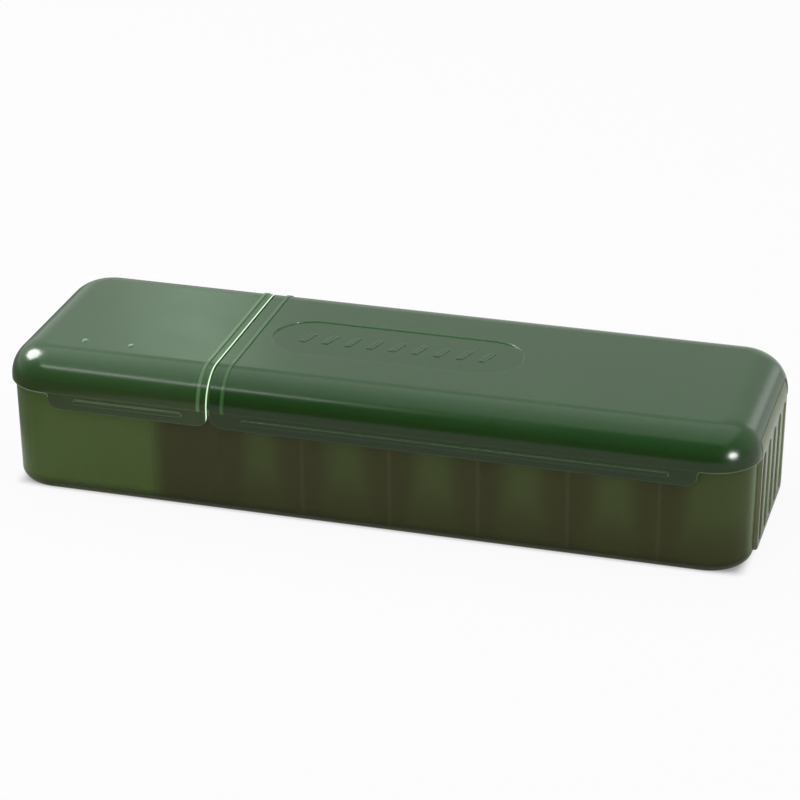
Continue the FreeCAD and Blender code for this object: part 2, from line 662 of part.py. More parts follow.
def lid_knuckles(body, lid):
    """Knuckles that run on the pins, each with a heel that stops the open lid at the wall."""
    first, row, count = STATIONS[lid]
    radius = KNUCKLE_RADIUS
    slant = radius * DIAGONAL
    in_wall = HALF_WIDTH - S["lid_wall"] / 2
    reach = HINGE_Y - TRAY_HALF_WIDTH - S["heel_gap"]
    across = cosine(S["open_angle"])
    up = sine(S["open_angle"])
    profile = sketch_on(body, "YZ_Plane", "knuckle_outline", first)
    outline(profile, [
        (HINGE_Y - radius, HINGE_Z), (HINGE_Y, HINGE_Z - radius),
        (HINGE_Y + S["heel_drop"] * up - reach * across, HINGE_Z - reach * up - S["heel_drop"] * across),
        (HINGE_Y + radius, HINGE_Z), (HINGE_Y + slant, HINGE_Z + slant),
        (in_wall, S["rim_height"] + S["knuckle_reach"]), (in_wall, S["rim_height"]),
    ], {0: (radius, 1), 3: (radius, 1)})
    circle(profile, HINGE_Y, HINGE_Z, S["pin_radius"] + S["pin_clearance"])
    knuckle = pad(body, profile, "knuckle", S["knuckle_width"], both=True)
    repeat(body, [knuckle], "knuckles", "X_Axis", row, count)


def pip(body, name, from_end):
    """A small domed pip on the short lid."""
    dome = body.newObject("PartDesign::AdditiveEllipsoid", name)
    bind(dome, "Radius1", S["pip_rise"])
    bind(dome, "Radius2", S["pip_radius"])
    bind(dome, "Radius3", S["pip_radius"])
    bind(dome, "Placement.Base.x", from_end - HALF_LENGTH)
    bind(dome, "Placement.Base.y", S["pip_front_inset"] - HALF_WIDTH)
    bind(dome, "Placement.Base.z", S["box_height"])


def oval_recess(body, ridge):
    """A shallow oval beside the raised line, with a row of plain slanted bars in it."""
    left = ridge + S["recess_clearance"]
    right = left + S["recess_length"]
    half_width = S["recess_width"] / 2
    top = S["box_height"].number

    def recess_rim(edge):
        box = edge.BoundBox
        across = box.YMax < half_width.number + 1e-3 and box.YMin > -half_width.number - 1e-3
        along = box.XMax < right.number + 1e-3 and box.XMin > left.number - 1e-3
        return level(edge, top) and across and along

    oval = sketch_on(body, "XY_Plane", "recess_outline", S["box_height"])
    slot(oval, left, right, ZERO, half_width)
    pocket(body, oval, "recess", S["recess_depth"])
    round_edges(body, "recess_edge", S["recess_edge_round"], recess_rim)
    marks_length = (MARK_COUNT - 1) * S["mark_pitch"]
    first = (left + right - marks_length) / 2
    half_mark = S["mark_width"] / 2
    half_lean = S["mark_slant"] / 2
    half_height = S["mark_length"] / 2
    mark = sketch_on(body, "XY_Plane", "mark_outline", S["box_height"] - 2 * S["recess_depth"])
    outline(mark, [
        (first - half_lean - half_mark, -half_height), (first - half_lean + half_mark, -half_height),
        (first + half_lean + half_mark, half_height), (first + half_lean - half_mark, half_height),
    ])
    bar = pad(body, mark, "mark", S["recess_depth"] + S["mark_rise"])
    repeat(body, [bar], "marks", "X_Axis", marks_length, MARK_COUNT)


def make_short_lid():
    """The lid over the large left compartment."""
    body = new_body("short_lid")
    lid_shell(body, SHORT_LID_END, -1)
    end_notch(body, -1)
    front_flap(body, SHORT_LID_END, SHORT_FLAP_START, SHORT_BAR, -1)
    seam_ridge(body, SEAM_X - S["short_ridge_place"])
    pip(body, "outer_pip", S["outer_pip_place"])
    pip(body, "inner_pip", S["inner_pip_place"])
    lid_knuckles(body, "short")
    return body


def make_long_lid():
    """The lid over the small cells."""
    body = new_body("long_lid")
    lid_shell(body, LONG_LID_END, 1)
    end_notch(body, 1)
    front_flap(body, LONG_LID_END, LONG_FLAP_END, LONG_BAR, 1)
    ridge = SEAM_X + S["long_ridge_place"]
    seam_ridge(body, ridge)
    oval_recess(body, ridge)
    lid_knuckles(body, "long")
    return body


# The loose pieces.

def make_partitions():
    """Upright plates that slide down between the rails, all alike."""
    at_floor = INSIDE_HALF_WIDTH - FLOOR_INSET - S["partition_clearance"]
    at_top = INSIDE_HALF_WIDTH - S["partition_clearance"]
    corner = S["tray_inside_round"]
    floor = S["tray_floor"]
    bodies = []
    for number in range(PARTITION_COUNT):
        body = new_body("main_partition" if number == 0 else "cell_partition_" + str(number))
        face = sketch_on(body, "YZ_Plane", "outline")
        outline(face, [
            (corner - at_floor, floor), (at_floor - corner, floor), (at_floor, floor + corner),
            (at_top, SHOULDER), (at_top, PARTITION_TOP), (-at_top, PARTITION_TOP),
            (-at_top, SHOULDER), (-at_floor, floor + corner),
        ], {1: (corner, 1), 7: (corner, 1)})
        pad(body, face, "plate", S["partition_thickness"], both=True)
        bind(body, "Placement.Base.x", FIRST_PARTITION_X + number * PARTITION_PITCH)
        bodies.append(body)
    return bodies


def make_pins():
    """A plain steel pin for each hinge station."""
    length = STATION_LENGTH - 2 * S["pin_end_inset"]
    along_x = FreeCAD.Rotation(FreeCAD.Vector(0, 1, 0), 90)
    pins = []
    for lid, (first, row, count) in STATIONS.items():
        for number in range(count):
            pin = doc.addObject("Part::Cylinder", lid + "_lid_pin_" + str(number + 1))
            bind(pin, "Radius", S["pin_radius"])
            bind(pin, "Height", length)
            pin.Placement = FreeCAD.Placement(FreeCAD.Vector(), along_x)
            bind(pin, "Placement.Base.x", first + number * row / (count - 1) - length / 2)
            bind(pin, "Placement.Base.y", HINGE_Y)
            bind(pin, "Placement.Base.z", HINGE_Z)
            pins.append(pin)
    return pins


def write_parts(parts):
    """Check every object and write each sub-part to its own file."""
    doc.recompute()
    for item in doc.Objects:
        if "Invalid" in item.State or "Error" in item.State:
            raise RuntimeError(item.Label + " did not compute")
    os.makedirs("parts", exist_ok=True)
    for part in parts:
        shape = part.Shape
        if shape.isNull() or not shape.isValid() or len(shape.Solids) != 1:
            raise RuntimeError(part.Label + " is not one sound solid")
        shape.exportStep("parts/" + part.Label + ".step")


write_parts([make_tray(), make_short_lid(), make_long_lid()] + make_partitions() + make_pins())
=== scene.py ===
"""Looks, light and camera for a desk box for cables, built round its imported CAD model."""
import logging
from dataclasses import dataclass, field
from enum import Enum
from functools import partial, reduce
from typing import Union

import bpy
from mathutils import Matrix, Vector


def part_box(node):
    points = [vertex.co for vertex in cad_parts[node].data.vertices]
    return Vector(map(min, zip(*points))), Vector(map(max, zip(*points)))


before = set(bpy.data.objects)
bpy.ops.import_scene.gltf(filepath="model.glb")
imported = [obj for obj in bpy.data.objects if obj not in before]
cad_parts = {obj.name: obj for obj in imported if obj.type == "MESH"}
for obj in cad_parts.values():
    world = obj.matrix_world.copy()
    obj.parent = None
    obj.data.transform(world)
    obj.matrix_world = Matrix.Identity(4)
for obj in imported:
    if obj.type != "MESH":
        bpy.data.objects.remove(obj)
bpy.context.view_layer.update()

LOG = logging.getLogger("cable_box")

Colour = tuple[float, float, float]
Place = tuple[float, float, float]
Socket = bpy.types.NodeSocket
Value = Union[float, int, bool, str, tuple, Socket, bpy.types.NodeTree]
Effects = dict[str, bpy.types.NodeTree]

DARK: Colour = (0.0, 0.0, 0.0)
WHITE: Colour = (1.0, 1.0, 1.0)


class Slot(Enum):
    """The record's material slots."""

    TRAY = "tray_plastic"
    LID = "lid_plastic"
    PARTITION = "partition_plastic"
    PIN = "pin_steel"


class Space(Enum):
    """Which coordinates a finish is laid out in."""

    OBJECT = "Object"
    NORMAL = "Normal"
    GENERATED = "Generated"


class Ray(Enum):
    """Which kinds of light path the floor and the surroundings tell apart."""

    CAMERA = "Is Camera Ray"
    REFLECTION = "Is Glossy Ray"
    THROUGH = "Is Transmission Ray"


class Sum(Enum):
    """What a Math node works out."""

    ABSOLUTE = "ABSOLUTE"
    ADD = "ADD"
    COMPARE = "COMPARE"
    GREATER_THAN = "GREATER_THAN"
    LESS_THAN = "LESS_THAN"
    MAXIMUM = "MAXIMUM"
    MULTIPLY = "MULTIPLY"
    MULTIPLY_ADD = "MULTIPLY_ADD"
    SQUARE_ROOT = "SQRT"
    SUBTRACT = "SUBTRACT"


class LampShape(Enum):
    """The outline of a softbox."""

    PANEL = "RECTANGLE"
    ROUND = "DISK"


class LampReach(Enum):
    """What a softbox lights."""

    EVERYTHING = "everything"
    SURFACES = "surfaces"
    REFLECTIONS = "reflections"


@dataclass
class Wiring:
    """A node tree with short calls for adding nodes and joining their sockets."""

    tree: bpy.types.NodeTree

    def add(
        self, kind: str, settings: dict[str, Value] | None = None, **inputs: Value
    ) -> bpy.types.Node:
        """Add a node.

        Args:
            kind: The node's type, without the leading "ShaderNode".
            settings: Properties to set on the node itself.
            inputs: Values or sockets for the node's inputs. An underscore stands for a space,
                and a name of the form at0 means the input with that number.

        Returns:
            The new node.
        """
        prefix = "" if kind.startswith("NodeGroup") else "ShaderNode"
        node = self.tree.nodes.new(prefix + kind)
        for name, value in (settings or {}).items():
            setattr(node, name, value)
        for name, value in inputs.items():
            self.feed(node, name, value)
        return node

    def feed(self, node: bpy.types.Node, name: str, value: Value) -> None:
        """Join a socket to an input, or set the input's own value.

        Args:
            node: The node that takes the value.
            name: The input, as in add.
            value: A socket, a number or a colour.
        """
        if name.startswith("at") and name[2:].isdigit():
            target = node.inputs[int(name[2:])]
        else:
            target = node.inputs[name.replace("_", " ")]
        if isinstance(value, Socket):
            self.tree.links.new(value, target)
        elif target.type == "RGBA" and len(value) == 3:
            target.default_value = (*value, 1.0)
        else:
            target.default_value = value

    def where(self, space: Space) -> Socket:
        """The place on the surface, or the way it looks, in the given coordinates."""
        return self.add("TexCoord").outputs[space.value]

    def axes(self, vector: Value) -> tuple[Socket, Socket, Socket]:
        """The X, Y and Z of a vector."""
        return tuple(self.add("SeparateXYZ", at0=vector).outputs)

    def ray(self, kind: Ray) -> Socket:
        """1 on one kind of light path, and 0 on the others."""
        return self.add("LightPath").outputs[kind.value]

    def math(self, kind: Sum, *values: Value, clamp: bool = False) -> Socket:
        """What a Math node gives, kept between 0 and 1 where clamp is set."""
        inputs = {f"at{place}": value for place, value in enumerate(values)}
        return self.add("Math", {"operation": kind.value, "use_clamp": clamp}, **inputs).outputs[0]

    def times(self, *values: Value) -> Socket:
        """Numbers multiplied together, from the first to the last."""
        return reduce(partial(self.math, Sum.MULTIPLY), values)

    def without(self, value: Value) -> Socket:
        """What is left of 1 when a number is taken away."""
        return self.math(Sum.SUBTRACT, 1.0, value)

    def most(self, first: Value, second: Value) -> Socket:
        """The larger of two numbers."""
        return self.math(Sum.MAXIMUM, first, second)

    def above(self, value: Value, limit: float) -> Socket:
        """1 where a number is above a limit, and 0 elsewhere."""
        return self.math(Sum.GREATER_THAN, value, limit)

    def below(self, value: Value, limit: float) -> Socket:
        """1 where a number is below a limit, and 0 elsewhere."""
        return self.math(Sum.LESS_THAN, value, limit)

    def near(self, value: Value, middle: float, half: float) -> Socket:
        """1 where a number is within half of the middle, and 0 elsewhere."""
        return self.math(Sum.COMPARE, value, middle, half)

    def off(self, value: Value, middle: float) -> Socket:
        """How far a number is from the middle, on either side."""
        return self.math(Sum.ABSOLUTE, self.math(Sum.SUBTRACT, value, middle))

    def beyond(self, value: Value, half: float) -> Socket:
        """How far a coordinate is outside a span about zero, and 0 inside it."""
        outside = self.math(Sum.SUBTRACT, self.math(Sum.ABSOLUTE, value), half)
        return self.most(outside, 0.0)

    def distance(self, across: Value, along: Value) -> Socket:
        """How far a point is from zero, by its two distances."""
        squares = self.math(Sum.ADD, self.times(across, across), self.times(along, along))
        return self.math(Sum.SQUARE_ROOT, squares)

    def ramp(
        self, value: Value, start: Value, end: Value, low: float = 0.0, high: float = 1.0
    ) -> Socket:
        """Ease from one number to another.

        Args:
            value: What is followed.
            start: Where the result is still low.
            end: Where the result has become high.
            low: The first number.
            high: The second number.

        Returns:
            The result's socket.
        """
        return self.add(
            "MapRange", {"interpolation_type": "SMOOTHSTEP"},
            Value=value, From_Min=start, From_Max=end, To_Min=low, To_Max=high,
        ).outputs[0]

    def blend(self, share: Value, first: Value, second: Value) -> Socket:
        """Mix two colours: the first at share 0, the second at share 1."""
        mix = self.add("Mix", {"data_type": "RGBA"}, at0=share, at6=first, at7=second)
        return mix.outputs[2]

    def noise(self, vector: Value, scale: Value, detail: float = 2.0) -> Socket:
        """Soft random values between about 0.3 and 0.7, with so many waves to a metre."""
        return self.add("TexNoise", Vector=vector, Scale=scale, Detail=detail).outputs[0]


@dataclass
class Effect:
    """A shader node group that several finishes share."""

    name: str
    inputs: dict[str, Value]
    outputs: tuple[str, ...]

    def start(self) -> tuple[Wiring, bpy.types.Node, bpy.types.Node]:
        """Make the empty group with its sockets.

        Returns:
            The group's wiring, its input node and its output node.
        """
        tree = bpy.data.node_groups.new(self.name, "ShaderNodeTree")
        for name, value in self.inputs.items():
            kind = self.kind_of(name, value)
            socket = tree.interface.new_socket(name=name, in_out="INPUT", socket_type=kind)
            if kind != "NodeSocketVector":
                socket.default_value = value
        for name in self.outputs:
            kind = "NodeSocketColor" if name == "Colour" else "NodeSocketFloat"
            tree.interface.new_socket(name=name, in_out="OUTPUT", socket_type=kind)
        wiring = Wiring(tree)
        return wiring, wiring.add("NodeGroupInput"), wiring.add("NodeGroupOutput")

    @staticmethod
    def kind_of(name: str, value: Value) -> str:
        """The socket type that an input needs.

        Args:
            name: The input's name.
            value: Its value to start with.

        Returns:
            The type's name.
        """
        if name == "Vector":
            return "NodeSocketVector"
        return "NodeSocketColor" if isinstance(value, tuple) else "NodeSocketFloat"


@dataclass
class MouldedSkin(Effect):
    """Cloudy colour, uneven gloss and fine grain of moulded plastic."""

    name: str = "moulded_skin"
    inputs: dict[str, Value] = field(
        default_factory=lambda: {
            "Vector": 0.0, "Base": (0.1, 0.2, 0.1, 1.0), "Cloud": (0.1, 0.2, 0.1, 1.0),
            "Cloud Scale": 14.0, "Gloss": 0.3, "Gloss Spread": 0.05, "Grain Scale": 1500.0,
        }
    )
    outputs: tuple[str, ...] = ("Colour", "Roughness", "Height")
    cloud_detail: float = 3.0
    cloud_gain: float = 2.2
    cloud_start: float = -0.6
    flow_scale: float = 55.0
    flow_gain: float = 2.0
    flow_start: float = -1.0

    def build(self) -> bpy.types.NodeTree:
        """Wire the group.

        Returns:
            The group.
        """
        wiring, source, result = self.start()
        at = source.outputs
        cloud = wiring.noise(at["Vector"], at["Cloud Scale"], self.cloud_detail)
        share = wiring.math(Sum.MULTIPLY_ADD, cloud, self.cloud_gain, self.cloud_start, clamp=True)
        wiring.feed(result, "Colour", wiring.blend(share, at["Base"], at["Cloud"]))
        flow = wiring.noise(at["Vector"], self.flow_scale)
        uneven = wiring.math(Sum.MULTIPLY_ADD, flow, self.flow_gain, self.flow_start)
        gloss = wiring.math(Sum.MULTIPLY_ADD, uneven, at["Gloss Spread"], at["Gloss"])
        wiring.feed(result, "Roughness", gloss)
        wiring.feed(result, "Height", wiring.noise(at["Vector"], at["Grain Scale"]))
        return wiring.tree


@dataclass
class PaintedEdgeHighlight(Effect):
    """Painted highlight lines where moulded plastic has an edge, broken up in patches."""

    name: str = "painted_edge_highlight"
    inputs: dict[str, Value] = field(
        default_factory=lambda: {"Vector": 0.0, "Width": 0.00045, "Gain": 14.0, "Breaks": 0.35}
    )
    outputs: tuple[str, ...] = ("Mask", "Facing")
    samples: int = 6
    patch_scale: float = 90.0
    # The painted highlight is stronger on edges that lean towards this direction.
    lit_from: Place = (0.6, 0.0, 0.8)
    lit_start: float = -0.02
    lit_end: float = 0.12

    def build(self) -> bpy.types.NodeTree:
        """Wire the group.

        Returns:
            The group. Its Mask is 1 on an edge, where a painted highlight line goes, and its Facing
            is 1 where that edge looks up or right, towards a painted light.
        """
        wiring, source, result = self.start()
        at = source.outputs
        rounded = wiring.add("Bevel", {"samples": self.samples}, Radius=at["Width"]).outputs[0]
        surface = wiring.add("NewGeometry").outputs["Normal"]
        dot = {"operation": "DOT_PRODUCT"}
        match = wiring.add("VectorMath", dot, at0=rounded, at1=surface).outputs["Value"]
        turned = wiring.math(Sum.MULTIPLY, wiring.without(match), at["Gain"], clamp=True)
        # Noise breaks the painted highlight lines up in patches.
        patches = wiring.noise(at["Vector"], self.patch_scale)
        broken_up = wiring.without(wiring.times(patches, at["Breaks"]))
        wiring.feed(result, "Mask", wiring.times(turned, broken_up))
        lean = wiring.add("VectorMath", {"operation": "SUBTRACT"}, at0=rounded, at1=surface)
        toward = wiring.add("VectorMath", dot, at0=lean.outputs["Vector"], at1=self.lit_from)
        facing = wiring.ramp(toward.outputs["Value"], self.lit_start, self.lit_end)
        wiring.feed(result, "Facing", facing)
        return wiring.tree


@dataclass
class Coat:
    """The sockets of a plastic finish while it is being made.

    The edges and the band are where the lit colour shows as a painted highlight, and the rest is a
    painted glow elsewhere.
    """

    colour: Value
    roughness: Value
    edges: Value
    facing: Value
    lit: Value
    band: Value = 0.0
    rest: Value = DARK


@dataclass(frozen=True)
class Surface:
    """Coordinates on a piece, and how far it looks to the front and up."""

    x: Socket
    y: Socket
    z: Socket
    front: Socket
    top: Socket


@dataclass(frozen=True)
class Plastic:
    """Translucent moulded plastic, with painted highlights on its edges."""

    name: str
    base: Colour
    cloud: Colour
    # The edge colour is a painted highlight on the edges, and the glow is the painted light they
    # give off.
    edge: Colour
    glow: Colour
    edge_share: float = 0.5
    edge_away: float = 0.3
    gloss: float = 0.2
    gloss_spread: float = 0.04
    transmission: float = 0.45
    bend: float = 1.38
    bump: float = 0.006
    bump_depth: float = 0.0002

    def build(self, effects: Effects, assembly: "Assembly") -> bpy.types.Material:
        """Make the material.

        Args:
            effects: The shared node groups by name.
            assembly: What wears it, which adds its own marks.

        Returns:
            The material.
        """
        material, wiring = new_material(self.name)
        where = wiring.where(Space.OBJECT)
        _, backward, upward = wiring.axes(wiring.where(Space.NORMAL))
        surface = Surface(*wiring.axes(where), wiring.times(backward, -1.0), upward)
        skin = wiring.add(
            "Group", {"node_tree": effects["moulded_skin"]}, Vector=where, Base=self.base,
            Cloud=self.cloud, Gloss=self.gloss, Gloss_Spread=self.gloss_spread,
        ).outputs
        edge = wiring.add("Group", {"node_tree": effects["painted_edge_highlight"]}, Vector=where).outputs
        coat = Coat(skin["Colour"], skin["Roughness"], edge["Mask"], edge["Facing"], self.glow)
        assembly.mark(wiring, surface, coat)
        # Painted highlight: the edges, weaker where they face away from the painted light, and the
        # band are blended to the edge colour and glow with the lit colour.
        share = wiring.math(Sum.MULTIPLY_ADD, coat.facing, 1.0 - self.edge_away, self.edge_away)
        shown = wiring.most(wiring.times(coat.edges, share), coat.band)
        colour = wiring.blend(wiring.times(shown, self.edge_share), coat.colour, self.edge)
        bump = wiring.add(
            "Bump", Strength=self.bump, Distance=self.bump_depth, Height=skin["Height"]
        )
        shader = wiring.add(
            "BsdfPrincipled", Base_Color=colour, Roughness=coat.roughness,
            Normal=bump.outputs[0], Transmission_Weight=self.transmission, IOR=self.bend,
            Emission_Color=wiring.blend(shown, coat.rest, coat.lit), Emission_Strength=1.0,
        )
        wiring.add("OutputMaterial", Surface=shader.outputs[0])
        return material


@dataclass(frozen=True)
class DrawnSteel:
    """Plain drawn steel wire."""

    name: str
    light: Colour = (0.60, 0.60, 0.58)
    dark: Colour = (0.40, 0.40, 0.39)
    draw_lines: Place = (60.0, 3000.0, 3000.0)
    gloss: float = 0.3
    gloss_spread: float = 0.1
    bump: float = 0.1
    bump_depth: float = 0.0001

    def build(self, effects: Effects, assembly: "Assembly") -> bpy.types.Material:
        """Make the material.

        Args:
            effects: The shared node groups by name.
            assembly: What wears it. It is not used, as it adds no marks to steel.

        Returns:
            The material.
        """
        material, wiring = new_material(self.name)
        where = wiring.where(Space.OBJECT)
        drawn = wiring.add("Mapping", Vector=where, Scale=self.draw_lines).outputs[0]
        skin = wiring.add(
            "Group", {"node_tree": effects["moulded_skin"]}, Vector=drawn, Base=self.light,
            Cloud=self.dark, Cloud_Scale=1.0, Gloss=self.gloss, Gloss_Spread=self.gloss_spread,
            Grain_Scale=1.0,
        ).outputs
        bump = wiring.add(
            "Bump", Strength=self.bump, Distance=self.bump_depth, Height=skin["Height"]
        )
        shader = wiring.add(
            "BsdfPrincipled", Base_Color=skin["Colour"], Roughness=skin["Roughness"],
            Normal=bump.outputs[0], Metallic=1.0,
        )
        wiring.add("OutputMaterial", Surface=shader.outputs[0])
        return material


def new_material(name: str) -> tuple[bpy.types.Material, Wiring]:
    """Make a material with an empty node tree.

    Args:
        name: The material's name.

    Returns:
        The material and its wiring.
    """
    material = bpy.data.materials.new(name)
    material.use_nodes = True
    material.node_tree.nodes.clear()
    return material, Wiring(material.node_tree)


@dataclass
class Assembly:
    """CAD nodes that share a finish."""

    names: tuple[str, ...]
    slot: Slot
    finish: Plastic | DrawnSteel

    def build(self, effects: Effects) -> None:
        """Make the finish and dress every node in it.

        Args:
            effects: The shared node groups by name.
        """
        material = self.finish.build(effects, self)
        for name in self.names:
            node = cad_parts[name]
            if not node.material_slots:
                node.data.materials.append(material)
            for place in node.material_slots:
                place.material = material
            LOG.info("%s wears %s", name, material.name)

    def mark(self, wiring: Wiring, surface: Surface, coat: Coat) -> None:
        """Add what only this assembly shows to its coat: nothing on a plain piece."""


@dataclass(frozen=True)
class Oval:
    """The shallow oval in the long lid's top."""

    half_run: float = 0.0335
    radius: float = 0.0154
    lowest: float = 0.05
    colour: Colour = (0.024, 0.118, 0.02)
    deeper_gloss: float = -0.07
    rim: float = 0.0015
    rim_facing: float = 0.7
    wall_front: float = 0.3
    # Painted highlight glow on the oval's wall that faces the front.
    wall_glow: Colour = (0.05, 0.08, 0.05)


@dataclass
class Lid(Assembly):
    """A lid with its raised line, its front flap and its hinge knuckles."""

    ridge_place: float = -0.0643
    seam_start: float | None = None
    oval: Oval | None = None
    # Painted shade: the lid's lower side, below side_top, turns darker and more olive.
    side: Colour = (0.044, 0.086, 0.011)
    side_top: float = 0.0535
    side_foot: float = 0.0425
    # Painted highlight: a pale glowing line along the lid's lower rim.
    rim_height: float = 0.042
    rim_line: float = 0.0012
    rim_glow: Colour = (0.20, 0.27, 0.18)
    # Painted highlight along the short lid's edge at the seam.
    seam_outward: float = 0.3
    seam_glow: Colour = (0.50, 0.71, 0.47)
    # Painted highlights on the raised line and on the tops of the pips.
    ridge_half: float = 0.00065
    ridge_blur: float = 0.0003
    ridge_glow: Colour = (0.045, 0.08, 0.04)
    calm_near: float = 0.0005
    calm_far: float = 0.001
    calm_share: float = 0.85
    pip_foot: float = 0.0567
    pip_top: float = 0.0570
    pip_glow: Colour = (0.22, 0.30, 0.22)

    def mark(self, wiring: Wiring, surface: Surface, coat: Coat) -> None:
        """Add painted shade on the lower side, painted highlights on the rim, the seam and the
        raised line, and the oval.

        Args:
            wiring: The finish's node tree.
            surface: Coordinates on the lid.
            coat: The finish so far, changed in place.
        """
        if self.oval is not None:
            self.mark_oval(wiring, surface, coat, self.oval)
        # Painted shade on the lower side of the lid, by height.
        low = wiring.ramp(surface.z, self.side_top, self.side_foot)
        coat.colour = wiring.blend(low, coat.colour, self.side)
        # Painted highlight line along the rim, counted as facing the painted light.
        rim = wiring.near(surface.z, self.rim_height, self.rim_line)
        coat.facing = wiring.most(coat.facing, rim)
        coat.lit = wiring.blend(rim, coat.lit, self.rim_glow)
        self.mark_ridge(wiring, surface, coat)
        # Painted highlight: a bright glowing band on the lid's outer faces at the seam.
        if self.seam_start is not None:
            outside = wiring.above(wiring.most(surface.top, surface.front), self.seam_outward)
            coat.band = wiring.times(outside, wiring.above(surface.x, self.seam_start))
            coat.lit = wiring.blend(coat.band, coat.lit, self.seam_glow)

    def mark_ridge(self, wiring: Wiring, surface: Surface, coat: Coat) -> None:
        """Show the raised line as one soft pale band of painted highlight, and paint highlights on
        the tops of the pips.

        Args:
            wiring: The finish's node tree.
            surface: Coordinates on the lid.
            coat: The finish so far, changed in place.
        """
        # Painted highlight band on the raised line and painted highlights on the pip tops.
        off = wiring.off(surface.x, self.ridge_place)
        above = wiring.above(surface.z, self.rim_height)
        half = self.ridge_half
        on_ridge = wiring.ramp(off, half + self.ridge_blur, half - self.ridge_blur)
        coat.rest = wiring.blend(wiring.times(on_ridge, above), coat.rest, self.ridge_glow)
        around = wiring.ramp(off, half + self.calm_far, half + self.calm_near)
        pips = wiring.ramp(surface.z, self.pip_foot, self.pip_top)
        pips = wiring.times(pips, wiring.without(around))
        coat.rest = wiring.blend(pips, coat.rest, self.pip_glow)
        calm = wiring.times(around, above, self.calm_share)
        coat.edges = wiring.times(coat.edges, wiring.without(calm))

    def mark_oval(self, wiring: Wiring, surface: Surface, coat: Coat, oval: Oval) -> None:
        """Give the oval its deeper, glossier green, and a painted highlight on its soft rim and its
        front-facing wall.

        Args:
            wiring: The finish's node tree.
            surface: Coordinates on the lid.
            coat: The finish so far, changed in place.
            oval: The oval's sizes and colours.
        """
        far = wiring.distance(wiring.beyond(surface.x, oval.half_run), surface.y)
        high = wiring.above(surface.z, oval.lowest)
        floor = wiring.times(wiring.below(far, oval.radius), high)
        around = wiring.times(wiring.below(far, oval.radius + oval.rim), high)
        # Painted highlight on the oval's front-facing wall and its rim.
        wall = wiring.times(
            around, wiring.near(far, oval.radius, oval.rim),
            wiring.above(surface.front, oval.wall_front),
        )
        coat.rest = wiring.blend(wall, coat.rest, oval.wall_glow)
        coat.facing = wiring.most(coat.facing, wiring.times(around, oval.rim_facing))
        coat.colour = wiring.blend(floor, coat.colour, oval.colour)
        coat.roughness = wiring.math(Sum.MULTIPLY_ADD, floor, oval.deeper_gloss, coat.roughness)


